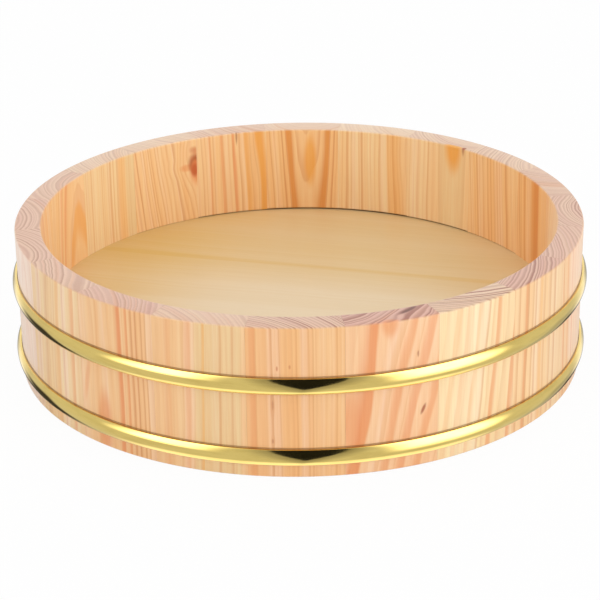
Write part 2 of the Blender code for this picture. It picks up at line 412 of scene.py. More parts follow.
# The bottom board's grain and the seam beside its middle, in millimetres, and the metal's deeper tone.
GRAIN_TURN = math.radians(14.8)
BOARD_SEAM = 50.0
DEEP_GILT = (0.90, 0.88, 0.80)

# Cycles of noise per millimetre in a stave, out, along and up, and the grain's shifts in millimetres.
SLOW_SWAY = (0.030, 0.030, 0.009)
QUICK_SWAY = (0.16, 0.16, 0.022)
SLOW_SHIFT = 2.6
QUICK_SHIFT = 0.7
TONE_PATCHES = (0.05, 0.05, 0.006)
FIBRES = (1.7, 1.7, 0.035)
STREAKS = (0.55, 0.55, 0.011)
# Good and poor spells of growth: cycles per millimetre of radius, years gained, and their noise.
SPELLS = ((0.06, 3.2, 0.0), (0.23, 0.9, 5.0))

# How far the groove's top lies below the board's top in front, and where the line above it is widest.
OVERLAP = 0.05 * MM
OPEN_BEARING = math.radians(78.0)
# Points across and round each piece, and the roundings of the hoops' edges.
STAVE_COLUMNS = 15
CORNER_STEPS = 7
BOARD_COLUMNS = 240
BOARD_RINGS = 8
BOARD_EDGE_STEPS = 6
HOOP_COLUMNS = 360
DOME_STEPS = 49
NOSE_STEPS = 5
HOOP_NOSE = 0.3 * MM
NOSE_LEAD = 4.0
# Height of the band of painted shade, and rougher metal, along the hoops' upper edges.
HOOP_SHADE_BAND = 0.25 * MM
PEG_STEPS = 21
PEG_SIDES = 20
SAME_POINT = 1e-7
SMOOTH_ANGLE = math.radians(40.0)

# Soft patches of the room's light: azimuth from the front, elevation and reach, in degrees.
LEFT_PATCH = (-60.0, 21.0, 31.0)
RIGHT_PATCH = (60.0, 17.0, 32.0)
# Soft boxes of the room in metal, in degrees: centre, full width, reach, and the rise of their fading in.
LEFT_BOX = (-56.0, 4.0, 28.0, -8.0, 13.0)
RIGHT_BOX = (58.0, 10.0, 30.0, -38.0, 6.0)
# The dark slit in metal: its tip and middle in degrees, its spread and tilt per degree of rise.
SLIT_TIP = -44.0
SLIT_SPREAD = 0.203
SLIT_MIDDLE = 2.3
SLIT_TILT = 0.025
# Each lamp's place and size, and the floor's reach and drop, in metres.
OVERHEAD_LAMP = ((0.0, -0.25, 1.6), 1.2)
FRONT_LAMP = ((0.7, -1.3, 0.9), 0.8)
FLOOR_REACH = 6.0
FLOOR_DROP = 0.2 * MM
FLOOR_GLOW = 0.95
FLOOR_GREY = (0.86, 0.86, 0.86, 1.0)
SENSOR_WIDTH = 36.0


def linear(colour):
    """A picture colour as the light that it stands for, with full opacity."""
    return (*Color(colour).from_srgb_to_scene_linear(), 1.0)


class Graph:
    """Short words for wiring up a material or the world."""

    def __init__(self, owner, coordinates="Object"):
        owner.use_nodes = True
        self.owner = owner
        self.nodes = owner.node_tree.nodes
        self.links = owner.node_tree.links
        self.coordinates = self.nodes.new("ShaderNodeTexCoord").outputs[coordinates]

    def feed(self, socket, value):
        """Join a socket to an output, or set it to a constant."""
        if isinstance(value, bpy.types.NodeSocket):
            self.links.new(value, socket)
        else:
            socket.default_value = value

    def finish(self, **inputs):
        """Feed the surface shader's sockets by name, with spaces written as underscores."""
        for name, value in inputs.items():
            self.feed(self.nodes["Principled BSDF"].inputs[name.replace("_", " ")], value)
        return self.owner

    def math(self, operation, *values):
        """A sum on numbers."""
        node = self.nodes.new("ShaderNodeMath")
        node.operation = operation
        for socket, value in zip(node.inputs, values):
            self.feed(socket, value)
        return node.outputs["Value"]

    def vector(self, operation, *values):
        """A sum on vectors."""
        node = self.nodes.new("ShaderNodeVectorMath")
        node.operation = operation
        for socket, value in zip(node.inputs, values):
            self.feed(socket, value)
        return node.outputs["Value" if operation in ("LENGTH", "DOT_PRODUCT") else "Vector"]

    def millimetres(self, turn=0.0, location=(0.0, 0.0, 0.0)):
        """The piece's own coordinates in millimetres, turned about Z and then moved."""
        node = self.nodes.new("ShaderNodeMapping")
        self.feed(node.inputs["Vector"], self.coordinates)
        node.inputs["Location"].default_value = location
        node.inputs["Rotation"].default_value = (0.0, 0.0, turn)
        node.inputs["Scale"].default_value = (PER_MM, PER_MM, PER_MM)
        return node.outputs["Vector"]

    def split(self, vector):
        """The three parts of a vector."""
        node = self.nodes.new("ShaderNodeSeparateXYZ")
        self.feed(node.inputs[0], vector)
        return node.outputs

    def noise(self, vector, stretch, seed, detail=2.0, roughness=0.5, output="Fac"):
        """Smooth noise from 0 to 1 over space, with so many cycles per unit along each axis."""
        node = self.nodes.new("ShaderNodeTexNoise")
        node.noise_dimensions = "4D"
        self.feed(node.inputs["Vector"], self.vector("MULTIPLY", vector, stretch))
        self.feed(node.inputs["W"], seed)
        node.inputs["Scale"].default_value = 1.0
        node.inputs["Detail"].default_value = detail
        node.inputs["Roughness"].default_value = roughness
        return node.outputs[output]

    def noise_along(self, value, detail=1.0):
        """Smooth noise from 0 to 1 along one number."""
        node = self.nodes.new("ShaderNodeTexNoise")
        node.noise_dimensions = "1D"
        self.feed(node.inputs["W"], value)
        node.inputs["Scale"].default_value = 1.0
        node.inputs["Detail"].default_value = detail
        return node.outputs["Fac"]

    def chance(self, value):
        """A fixed random number from 0 to 1 for each whole number."""
        node = self.nodes.new("ShaderNodeTexWhiteNoise")
        node.noise_dimensions = "1D"
        self.feed(node.inputs["W"], value)
        return node.outputs["Value"]

    def ramp(self, value, low, high, start=0.0, end=1.0):
        """Rise smoothly from start to end as the value goes from low to high."""
        node = self.nodes.new("ShaderNodeMapRange")
        node.interpolation_type = "SMOOTHSTEP"
        names = ("Value", "From Min", "From Max", "To Min", "To Max")
        for name, number in zip(names, (value, low, high, start, end)):
            self.feed(node.inputs[name], number)
        return node.outputs["Result"]

    def mix(self, share, first, second, blend="MIX"):
        """Two colours mixed by a share; picture colours are turned into light first."""
        node = self.nodes.new("ShaderNodeMix")
        node.data_type = "RGBA"
        node.blend_type = blend
        for index, value in zip(MIX_INPUTS, (share, first, second)):
            self.feed(node.inputs[index], linear(value) if isinstance(value, Color) else value)
        return node.outputs[MIX_OUTPUT]

    def product(self, first, *others):
        """All of the numbers multiplied together."""
        for other in others:
            first = self.math("MULTIPLY", first, other)
        return first

    def attribute(self, name):
        """A number stored on the piece's own points."""
        node = self.nodes.new("ShaderNodeAttribute")
        node.attribute_name = name
        return node.outputs["Fac"]

    def bump(self, height, strength, distance):
        """A fine relief."""
        node = self.nodes.new("ShaderNodeBump")
        node.inputs["Strength"].default_value = strength
        node.inputs["Distance"].default_value = distance
        self.feed(node.inputs["Height"], height)
        return node.outputs["Normal"]


def mark_distance(g, local, mark):
    """Distance from a mark's middle, where 1 is the ellipsoid's skin."""
    node = g.nodes.new("ShaderNodeMapping")
    node.vector_type = "TEXTURE"
    g.feed(node.inputs["Vector"], local)
    node.inputs["Location"].default_value = (mark.out, mark.along, mark.up)
    node.inputs["Rotation"].default_value = (math.radians(mark.lean), 0.0, math.radians(mark.turn))
    node.inputs["Scale"].default_value = (mark.half_out, mark.half_along, mark.half_up)
    return g.vector("LENGTH", node.outputs["Vector"])


def bend_round(g, local, mark, distance):
    """Squeeze the grain towards a mark's middle line, so that the rings part round the mark."""
    squeeze = g.ramp(distance, 0.0, BEND_REACH, KNOT_BEND if mark.kind == "knot" else STREAK_BEND, 0.0)
    across = g.vector("SUBTRACT", (0.0, mark.along, 0.0), g.vector("MULTIPLY", local, (0.0, 1.0, 0.0)))
    node = g.nodes.new("ShaderNodeVectorMath")
    node.operation = "SCALE"
    g.feed(node.inputs["Vector"], across)
    g.feed(node.inputs["Scale"], squeeze)
    return g.vector("ADD", local, node.outputs["Vector"])


def line_radius(line, timber, bearing, sizes):
    """Distance from the pith of a bold line, and how fast that distance grows along the face."""
    outside = line.face == "outside"
    face = (sizes.outer_radius if outside else sizes.inner_radius) * PER_MM
    middle = (sizes.outer_radius + sizes.inner_radius) / 2.0 * PER_MM
    height = (sizes.rim + (sizes.foot if outside else sizes.board_top)) / 2.0 * PER_MM
    off = math.radians(line.bearing - 90.0) - bearing
    out = face * math.cos(off) - middle - timber.pith_out
    along = face * math.sin(off) - timber.pith_along - timber.lean * height
    radius = math.hypot(out, along)
    return radius + timber.taper * height, max(abs(along) / radius, LEAST_SLOPE)


def line_share(g, line, radius, middle_radius, half):
    """How far a bold line shows: it darkens slowly away from the pith and ends sharply."""
    off = g.math("SUBTRACT", radius, middle_radius)
    if line.kind in BASE_BANDS:
        return g.ramp(g.math("ABSOLUTE", off), 0.8 * half, half, line.strength, 0.0)
    return g.math("MULTIPLY", g.ramp(off, -1.2 * half, 0.1 * half, 0.0, line.strength),
                  g.ramp(off, 0.6 * half, 1.1 * half, 1.0, 0.0))


def groove_opening(bearing):
    """How far the line above the board is open: cos^4 of the angle from its widest place, 0 in front."""
    return max(math.cos(bearing - OPEN_BEARING), 0.0) ** 4


def swayed(g, local, stretch, seed, size):
    """A shift of the grain, size x (noise - 1/2) along each axis."""
    noise = g.noise(local, stretch, seed, 1.0, output="Color")
    return g.vector("MULTIPLY", g.vector("SUBTRACT", noise, (0.5, 0.5, 0.5)), (size, size, size))


def pith_distance(g, timber, seed, local, marks, distances):
    """Distance from the pith, sqrt(out^2 + along^2) + taper x height, with the grain swayed.

    Along is measured from the pith's own leaning line, and the grain parts round the marks.
    """
    up = g.split(local)["Z"]
    shifted = local
    for mark, distance in zip(marks, distances):
        shifted = bend_round(g, shifted, mark, distance)
    shifted = g.vector("ADD", shifted, swayed(g, local, SLOW_SWAY, seed, SLOW_SHIFT * timber.wave))
    shifted = g.vector("ADD", shifted, swayed(g, local, QUICK_SWAY, seed + 1.0, QUICK_SHIFT * timber.wave))
    parts = g.split(g.vector("SUBTRACT", shifted, (timber.pith_out, timber.pith_along, 0.0)))
    along = g.math("SUBTRACT", parts["Y"], g.math("MULTIPLY", up, timber.lean))
    square = g.math("ADD", g.math("MULTIPLY", parts["X"], parts["X"]), g.math("MULTIPLY", along, along))
    return g.math("MULTIPLY_ADD", up, timber.taper, g.math("SQRT", square))


def year_rings(g, timber, seed, radius):
    """How far through its year a point grew, how vigorous that year was, and its late-wood share.

    The count of years is radius / ring width + noise, and its fraction is the season.
    """
    years = g.math("DIVIDE", radius, timber.ring)
    for cycles, gain, number in SPELLS:
        noise = g.noise_along(g.math("MULTIPLY_ADD", radius, cycles, seed + number))
        years = g.math("MULTIPLY_ADD", noise, gain, years)
    year = g.math("FLOOR", years)
    season = g.math("SUBTRACT", years, year)
    chance = g.chance(g.math("ADD", year, round(seed, 1)))
    vigour = g.math("MULTIPLY_ADD", g.math("POWER", chance, 1.5), 0.70, 0.20)
    late = g.product(g.ramp(season, 0.25, 0.93), g.ramp(season, 0.95, 1.0, 1.0, 0.0))
    return season, vigour, g.math("POWER", late, 1.7)


def paint_shade_lines(g, colour, bearing, local, sizes, colours):
    """Paint shade onto the wood: a contact shadow along the hoops' tops, shade in the board's groove, and a
    shade line on the lip above it that is darkest where the gap above the board is widest.
    """
    out, _, up = g.split(local)
    outside = g.ramp(out, *OUTER_PART)
    for node in HOOP_NODES:
        level = node_heights(node)[1] * PER_MM
        off = g.math("ABSOLUTE", g.math("SUBTRACT", up, level + HOOP_LINE_LIFT))
        share = g.product(outside, g.ramp(off, *HOOP_LINE_FADE, HOOP_LINE_SHADE, 0.0))
        colour = g.mix(share, colour, colours.painted_shade)
    skin = (sizes.inner_radius - sizes.outer_radius) / 2.0 * PER_MM
    board_top = sizes.board_top * PER_MM
    deep = g.product(g.ramp(out, skin + 0.1, skin + 0.6), g.math("SUBTRACT", 1.0, outside))
    beside = g.product(g.ramp(up, *ABOVE_FOOT), g.ramp(up, board_top + 1.0, board_top + 2.0, 1.0, 0.0))
    colour = g.mix(g.product(deep, beside, GROOVE_SHADE), colour, colours.painted_shade)
    behind = groove_opening(bearing)
    lip = board_top + behind * sizes.groove_gap * PER_MM
    above = g.ramp(up, lip, lip + LIP_HEIGHT, LIP_SHADE * behind, 0.0)
    shallow = g.ramp(out, skin + 0.6, skin + 1.0, 1.0, 0.0)
    share = g.product(above, shallow, g.ramp(up, board_top - 1.0, board_top))
    return g.mix(share, colour, colours.painted_shade)


def pine_material(stave, bearing, sizes, colours):
    """Solid pine for one stave: rings round a pith, worked out in the board's own millimetres.

    Within each ring early wood darkens to a late-wood line. Bold lines follow the rings, marks are
    ellipsoids, and the cut ends show the same rings in their own colours.
    """
    timber = TIMBERS[stave - 1]
    marks = [mark for mark in MARKS if mark.stave == stave]
    lines = [line for line in LINES if line.stave == stave]
    seed = SEED_STEP * stave
    g = Graph(bpy.data.materials.new(f"pine_{stave:02d}"))
    middle = (sizes.outer_radius + sizes.inner_radius) / 2.0 * PER_MM
    local = g.millimetres(-bearing, (-middle, 0.0, 0.0))
    distances = [mark_distance(g, local, mark) for mark in marks]
    radius = pith_distance(g, timber, seed, local, marks, distances)
    season, vigour, late = year_rings(g, timber, seed, radius)
    strong = g.product(vigour, timber.contrast, late)

    tone = g.noise(local, TONE_PATCHES, seed + 2.0, 1.0)
    warmth = g.math("ADD", g.math("MULTIPLY_ADD", tone, 0.5, -0.25), timber.warmth)
    colour = g.mix(warmth, colours.pale_pine, colours.warm_pine)
    bands = g.noise_along(g.math("MULTIPLY_ADD", radius, 0.15, seed + 8.0), 2.0)
    colour = g.mix(g.ramp(bands, 0.50, 0.72, 0.0, 0.25), colour, colours.blush_and_edge_sheen)
    gold = g.ramp(bands, 0.30, 0.55, timber.gold + 0.15, timber.gold)
    colour = g.mix(gold, colour, colours.honey)
    rosy = g.math("MULTIPLY_ADD", bands, 0.6, timber.rosy - 0.3)
    ends = g.mix(rosy, colours.end_pale, colours.end_warm)
    shares = []
    for line in lines:
        middle_radius, slope = line_radius(line, timber, bearing, sizes)
        shares.append(line_share(g, line, radius, middle_radius, line.half_width * slope))
    for line, share in zip(lines, shares):
        if line.kind in BASE_BANDS:
            colour = g.mix(share, colour, getattr(colours, line.kind))
    colour = g.mix(strong, colour, colours.late_wood)
    for line, share in zip(lines, shares):
        if line.kind not in BASE_BANDS:
            colour = g.mix(share, colour, getattr(colours, line.kind))
            ends = g.mix(g.math("MULTIPLY", share, 0.3), ends, colours.late_wood)
    fibre = g.noise(local, FIBRES, seed + 3.0, 2.0, 0.6)
    for mark, distance in zip(marks, distances):
        share = g.ramp(distance, 0.40, 1.0, mark.strength, 0.0)
        colour = g.mix(share, colour, getattr(colours, mark.kind))
        ends = g.mix(share, ends, getattr(colours, mark.kind))
    streak = g.noise(local, STREAKS, seed + 4.0, 3.0, 0.6)
    colour = g.mix(g.ramp(streak, 0.35, 0.70, 0.16, 0.0), colour, colours.warm_pine, "MULTIPLY")
    colour = g.mix(g.ramp(fibre, 0.30, 0.75, 0.11, 0.0), colour, colours.late_wood, "MULTIPLY")
    # Painted shade along the hoops' tops and in and above the board's groove.
    colour = paint_shade_lines(g, colour, bearing, local, sizes, colours)

    soft = g.product(g.ramp(season, 0.10, 0.75), g.ramp(season, 0.78, 1.0, 1.0, 0.0))
    weight = g.math("MULTIPLY_ADD", vigour, 0.7 * timber.ends, 0.15 * timber.ends)
    ends = g.mix(g.product(soft, weight), ends, colours.end_ring)
    ends = g.mix(g.ramp(fibre, 0.35, 0.7, 0.10, 0.0), ends, colours.knot, "MULTIPLY")
    end_grain = g.attribute("end_grain")
    colour = g.mix(end_grain, colour, ends)
    relief = g.math("ADD", g.math("MULTIPLY", late, 0.5), g.math("MULTIPLY", fibre, 0.5))
    return g.finish(
        Base_Color=colour,
        Roughness=g.math("MULTIPLY_ADD", end_grain, 0.25, g.ramp(fibre, 0.2, 0.8, 0.42, 0.54)),
        Normal=g.bump(relief, 0.35, 0.00012),
        Specular_IOR_Level=0.5,
        Coat_Weight=0.35,
        Coat_Roughness=0.25,
        Sheen_Weight=0.3,
        Sheen_Roughness=0.35,
    )


def veneer_material(sizes, colours):
    """Pale sliced veneer under a satin lacquer: long soft grain, one seam, and painted shade on the edge
    hidden in the groove.
    """
    g = Graph(bpy.data.materials.new("lacquered_veneer"))
    local = g.millimetres(GRAIN_TURN)
    sway = g.noise(local, (0.005, 0.02, 0.0), 1.0, 1.0)
    along, across, _ = g.split(local)
    grain = g.math("MULTIPLY_ADD", sway, 22.0, across)
    bands = g.noise_along(g.math("MULTIPLY", grain, 0.05), 3.0)
    fine = g.noise_along(g.math("MULTIPLY_ADD", grain, 0.45, 7.0), 2.0)
    seam = g.ramp(g.math("ABSOLUTE", g.math("SUBTRACT", across, BOARD_SEAM)), 0.8, 4.6, 0.30, 0.0)
    leaf = g.ramp(across, 12.0, 46.0, -0.14, 0.22)
    leaf = g.math("ADD", leaf, g.ramp(along, -120.0, -35.0, 0.45, 0.0))
    fibre = g.noise(local, (0.03, 1.2, 1.0), 4.0, 2.0, 0.6)
    share = g.math("MULTIPLY_ADD", bands, 0.5, g.math("MULTIPLY_ADD", fine, 0.24, -0.18))
    share = g.math("ADD", g.math("ADD", share, seam), leaf)
    colour = g.mix(share, colours.veneer, colours.veneer_line)
    colour = g.mix(g.ramp(fibre, 0.3, 0.75, 0.10, 0.0), colour, colours.veneer_line, "MULTIPLY")
    # Painted shade on the part of the board that reaches into the staves' groove.
    reach = g.vector("LENGTH", g.vector("MULTIPLY", local, (1.0, 1.0, 0.0)))
    groove = sizes.inner_radius * PER_MM
    colour = g.mix(g.ramp(reach, groove, groove + 0.4, 0.0, 0.95), colour, colours.painted_shade)
    return g.finish(
        Base_Color=colour,
        Roughness=g.ramp(fibre, 0.2, 0.8, 0.28, 0.36),
        Normal=g.bump(fibre, 0.10, 0.00005),
        Specular_IOR_Level=0.5,
        Coat_Weight=0.22,
        Coat_Roughness=0.20,
    )


def bamboo_material(colours):
    """Split bamboo: pale flesh with fine dark fibres along the peg."""
    g = Graph(bpy.data.materials.new("bamboo"))
    local = g.millimetres()
    dots = g.noise(local, (1.6, 1.6, 2.6), 2.0, 3.0, 0.65)
    tone = g.noise(local, (0.2, 0.2, 0.4), 5.0, 1.0)
    share = g.math("ADD", g.ramp(dots, 0.52, 0.70, 0.0, 0.8), g.math("MULTIPLY", tone, 0.2))
    colour = g.mix(share, colours.bamboo, colours.bamboo_fibre)
    return g.finish(Base_Color=colour, Roughness=0.6, Normal=g.bump(dots, 0.3, 0.0001))


def gilt_material(colours):
    """Polished gold-coloured sheet with faint rolling lines round the hoop, and painted shade along its
    rougher upper edge.
    """
    g = Graph(bpy.data.materials.new("gilt_metal"))
    local = g.millimetres()
    rolling = g.noise(local, (0.02, 0.02, 2.4), 1.0, 2.0, 0.6)
    cloud = g.noise(local, (0.05, 0.05, 0.3), 2.0, 3.0, 0.6)
    deep = [level * share for level, share in zip(linear(colours.gilt), DEEP_GILT)]
    colour = g.mix(g.ramp(cloud, 0.35, 0.75), colours.gilt, (*deep, 1.0))
    # Painted shade: a dark line along the upper edge where the hoop meets the wood; the edge is also made
    # rougher.
    edge_shade_mask = g.attribute("shaded_upper_edge")
    colour = g.mix(g.math("MULTIPLY", edge_shade_mask, 0.8), colour, colours.painted_shade)
    rough = g.math("ADD", g.ramp(cloud, 0.3, 0.8, 0.05, 0.09), g.ramp(rolling, 0.3, 0.7, 0.0, 0.04))
    rough = g.math("MULTIPLY_ADD", edge_shade_mask, 0.3, rough)
    return g.finish(
        Base_Color=colour,
        Metallic=1.0,
        Roughness=rough,
        Normal=g.bump(rolling, 0.05, 0.00005),
        Coat_Weight=0.3,
        Coat_Roughness=0.12,
    )


def grid_faces(rows, columns, closed_rows, closed_columns):
    """Quads of a grid of points, wrapped round where a direction is closed."""
    row = np.arange(rows if closed_rows else rows - 1)
    column = np.arange(columns if closed_columns else columns - 1)
    row, column = (part.ravel() for part in np.meshgrid(row, column, indexing="ij"))
    below = (row + 1) % rows * columns
    beside = (column + 1) % columns
    row = row * columns
    return np.stack([row + column, below + column, below + beside, row + beside], axis=1)


def add_piece(name, points, faces, material, node, merge=False):
    """Put a surface into the scene as a piece that stands for a CAD node."""
    mesh = bpy.data.meshes.new(name)
    mesh.from_pydata(points.reshape(-1, 3).tolist(), [], faces)
    if merge:
        bm = bmesh.new()
        bm.from_mesh(mesh)
        bmesh.ops.remove_doubles(bm, verts=bm.verts, dist=SAME_POINT)
        bm.to_mesh(mesh)
        bm.free()
    mesh.shade_smooth()
    mesh.set_sharp_from_angle(angle=SMOOTH_ANGLE)
    mesh.materials.append(material)
    piece = bpy.data.objects.new(name, mesh)
    bpy.context.scene.collection.objects.link(piece)
    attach(piece, "root")
    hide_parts(node)
    return piece


def arc(centre, radius, start, end, steps):
    """Points on a circular arc in the plane of radius and height, angles in degrees."""
    angles = np.radians(np.linspace(start, end, steps))
    return np.stack([centre[0] + radius * np.cos(angles), centre[1] + radius * np.sin(angles)], axis=1)


def stave_section(sizes, groove_top):
    """A stave's outline by radius and height: four rounded corners and the board's groove."""
    edge = sizes.edge_round
    foot = sizes.foot_round
    top = sizes.rim - edge
    low = sizes.foot + foot
    deep = sizes.board_radius + sizes.fit
    groove_low = sizes.board_under - sizes.fit
    groove_radii = (sizes.inner_radius, deep, deep, sizes.inner_radius)
    groove_levels = (groove_low, groove_low, groove_top, groove_top)
    return np.concatenate([
        arc((sizes.outer_radius - edge, top), edge, 90.0, 0.0, CORNER_STEPS),
        arc((sizes.outer_radius - foot, low), foot, 0.0, -90.0, CORNER_STEPS),
        arc((sizes.inner_radius + foot, low), foot, -90.0, -180.0, CORNER_STEPS),
        np.stack([groove_radii, groove_levels], axis=1),
        arc((sizes.inner_radius + edge, top), edge, 180.0, 90.0, CORNER_STEPS),
    ])


def end_grain_share(sizes, section):
    """How far each point of the section faces up or down: (1 - depth below the end / rounding)^1.5."""
    above = 1.0 - (sizes.rim - section[:, 1]) / sizes.edge_round
    below = 1.0 - (section[:, 1] - sizes.foot) / sizes.foot_round
    return np.clip(np.maximum(above, below), 0.0, 1.0) ** 1.5


def turned(section, angles):
    """Carry a section of radii and heights round the tub's axis: x = r cos a, y = r sin a."""
    radii, heights = section[:, 0, None], section[:, 1, None]
    level = np.broadcast_to(heights, (len(section), len(angles)))
    return np.stack([radii * np.cos(angles), radii * np.sin(angles), level], axis=-1)


class TUB_OT_staves(bpy.types.Operator):
    """Build the ring of pine staves"""

    bl_idname = "tub.staves"
    bl_label = "Staves"

    def execute(self, context):
        sizes = context.scene.tub_sizes
        colours = context.scene.tub_colours
        half = (STAVE_ANGLE - sizes.joint_gap / sizes.inner_radius) / 2.0
        columns = STAVE_COLUMNS
        for number, node in enumerate(STAVE_NODES, start=1):
            bearing = node_bearing(node)
            behind = groove_opening(bearing)
            section = stave_section(sizes, sizes.board_top + behind * sizes.groove_gap - OVERLAP)
            ends = end_grain_share(sizes, section)
            first = np.arange(len(section)) * columns
            faces = grid_faces(len(section), columns, True, False).tolist()
            faces += [first[::-1].tolist(), (first + columns - 1).tolist()]
            points = turned(section, bearing + np.linspace(-half, half, columns))
            material = pine_material(number, bearing, sizes, colours)
            stave = add_piece(f"pine_{node}", points, faces, material, node)
            share = stave.data.attributes.new("end_grain", "FLOAT", "POINT")
            share.data.foreach_set("value", np.repeat(ends, columns).astype(np.float32))
        return {"FINISHED"}


def peg_points(node, sizes):
    """A round peg with both ends drawn in: radius = R sqrt(1 - s^8) along its length s from -1 to 1."""
    low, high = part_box(node)
    middle = np.array((low + high) / 2.0)
    bearing = math.atan2(middle[1], middle[0])
    outward = np.array((math.cos(bearing), math.sin(bearing), 0.0))
    along = np.array((-math.sin(bearing), math.cos(bearing), 0.0))
    up = np.array((0.0, 0.0, 1.0))
    share = np.sin(np.linspace(-math.pi / 2.0, math.pi / 2.0, PEG_STEPS))
    radii = sizes.peg_diameter / 2.0 * np.sqrt(np.maximum(1.0 - share ** 8, 0.0))
    turns = np.arange(PEG_SIDES) * FULL_TURN / PEG_SIDES
    around = np.cos(turns)[:, None] * outward + np.sin(turns)[:, None] * up
    axis = middle + share[:, None] * sizes.peg_length / 2.0 * along
    return axis[:, None, :] + radii[:, None, None] * around[None, :, :]


class TUB_OT_pegs(bpy.types.Operator):
    """Build the bamboo pegs in the stave joints"""

    bl_idname = "tub.pegs"
    bl_label = "Pegs"

    def execute(self, context):
        sizes = context.scene.tub_sizes
        material = bamboo_material(context.scene.tub_colours)
        for node in PEG_NODES:
            points = peg_points(node, sizes)
            faces = grid_faces(*points.shape[:2], False, True).tolist()
            add_piece(f"bamboo_{node}", points, faces, material, node, merge=True)
        return {"FINISHED"}


def board_section(sizes):
    """The board's outline by radius and height: flat above and below, with two quarter rounds between."""
    edge = sizes.board_round
    rim = sizes.board_radius - edge
    across = np.linspace(0.0, rim, BOARD_RINGS)[:-1]
    return np.concatenate([
        np.stack([across, np.full_like(across, sizes.board_top)], axis=1),
        arc((rim, sizes.board_top - edge), edge, 90.0, 0.0, BOARD_EDGE_STEPS),
        arc((rim, sizes.board_under + edge), edge, 0.0, -90.0, BOARD_EDGE_STEPS),
        np.stack([across[::-1], np.full_like(across, sizes.board_under)], axis=1),
    ])


class TUB_OT_board(bpy.types.Operator):
    """Build the lacquered bottom board"""

    bl_idname = "tub.board"
    bl_label = "Bottom board"

    def execute(self, context):
        sizes = context.scene.tub_sizes
        section = board_section(sizes)
        points = turned(section, np.arange(BOARD_COLUMNS) * FULL_TURN / BOARD_COLUMNS)
        faces = grid_faces(len(section), BOARD_COLUMNS, False, True).tolist()
        material = veneer_material(sizes, context.scene.tub_colours)
        add_piece("lacquered_bottom_board", points, faces, material, BOARD_NODE, merge=True)
        return {"FINISHED"}


def hoop_section(sizes):
    """A hoop's sheet about its own middle height: a shallow dome between two short straight edges.

    Outside: a circular arc of the hoop's width whose rise is the bulge less the edge depth. The
    hollow behind is the same outline, smaller by the thickness of the sheet.
    """
    half = sizes.hoop_width / 2.0
    rise = sizes.hoop_bulge - sizes.hoop_edge
    nose = HOOP_NOSE
    radius = (half ** 2 + rise ** 2) / (2.0 * rise)
    end = math.degrees(math.asin((half - nose) / radius))
    dome = arc((sizes.hoop_bulge - radius, 0.0), radius, end, -end, DOME_STEPS)
    corner = dome[0] - nose * np.array((math.cos(math.radians(end)), math.sin(math.radians(end))))
    upper = arc(corner, nose, 90.0, end + NOSE_LEAD, NOSE_STEPS)
    lower = (upper * (1.0, -1.0))[::-1]
    outside = np.concatenate([[(0.0, upper[0, 1])], upper, dome, lower, [(0.0, lower[-1, 1])]])
    shrink = np.array((1.0 - sizes.hoop_sheet / sizes.hoop_bulge, 1.0 - sizes.hoop_sheet / half))
    hollow = outside[::-1] * shrink
    return np.concatenate([outside, hollow]) + (sizes.hoop_seat, 0.0)


class TUB_OT_hoops(bpy.types.Operator):
    """Build the two gilt hoops"""

    bl_idname = "tub.hoops"
    bl_label = "Hoops"

    def execute(self, context):
        sizes = context.scene.tub_sizes
        material = gilt_material(context.scene.tub_colours)
        section = hoop_section(sizes)
        # Share of the painted shade band along each hoop's upper edge.
        edge_shade_mask = np.clip((section[:, 1] - sizes.hoop_width / 2.0) / HOOP_SHADE_BAND + 1.0, 0.0, 1.0)
        columns = HOOP_COLUMNS
        faces = grid_faces(len(section), columns, True, True).tolist()
        for node in HOOP_NODES:
            low, high = node_heights(node)
            points = turned(section + (0.0, (low + high) / 2.0), np.arange(columns) * FULL_TURN / columns)
            hoop = add_piece(f"gilt_{node}", points, faces, material, node)
            share = hoop.data.attributes.new("shaded_upper_edge", "FLOAT", "POINT")
            share.data.foreach_set("value", np.repeat(edge_shade_mask, columns).astype(np.float32))
        return {"FINISHED"}


def add_camera(studio, rim):
    """Set up the camera at the photograph's viewing angle."""
    height = studio.camera_height
    place = Vector((0.0, -math.cos(height), math.sin(height))) * studio.camera_distance
    place.z += rim
    down = height + studio.camera_tilt
    forward = Vector((0.0, math.cos(down), -math.sin(down)))
    level = Vector((1.0, 0.0, 0.0))
    right = Matrix.Rotation(-studio.camera_roll, 3, forward) @ level
    above = right.cross(forward)
    camera = bpy.data.objects.new("camera", bpy.data.cameras.new("camera"))
    camera.data.lens = studio.camera_lens
    camera.data.sensor_width = SENSOR_WIDTH
    facing = Matrix((right, above, -forward)).transposed().to_4x4()
    camera.matrix_world = Matrix.Translation(place) @ facing
    bpy.context.scene.collection.objects.link(camera)
    bpy.context.scene.camera = camera


def add_soft_lamp(name, place, size, glow):
    """A square soft lamp that faces the tub and isn't seen in its mirrors."""
    lamp = bpy.data.lights.new(name, "AREA")
    lamp.shape = "SQUARE"
    lamp.size = size
    lamp.energy = glow * math.pi * size ** 2
    holder = bpy.data.objects.new(name, lamp)
    holder.location = place
    holder.rotation_euler = Vector(place).to_track_quat("Z", "Y").to_euler()
    holder.visible_glossy = False
    bpy.context.scene.collection.objects.link(holder)


def patch(g, direction, azimuth, elevation, reach):
    """1 at a direction and 0 past its reach, azimuth from the front towards +X, all in degrees."""
    turn, rise = math.radians(azimuth), math.radians(elevation)
    aim = (math.sin(turn) * math.cos(rise), -math.cos(turn) * math.cos(rise), math.sin(rise))
    return g.ramp(g.vector("DOT_PRODUCT", direction, aim), math.cos(math.radians(reach)), 1.0)


def soft_box(g, turn, rise, centre, full, reach, low, high):
    """A tall soft box: 1 within full degrees of its centre and above high, 0 past reach or below low."""
    side = g.ramp(g.math("ABSOLUTE", g.math("SUBTRACT", turn, centre)), full, reach, 1.0, 0.0)
    return g.product(side, g.ramp(rise, low, high))


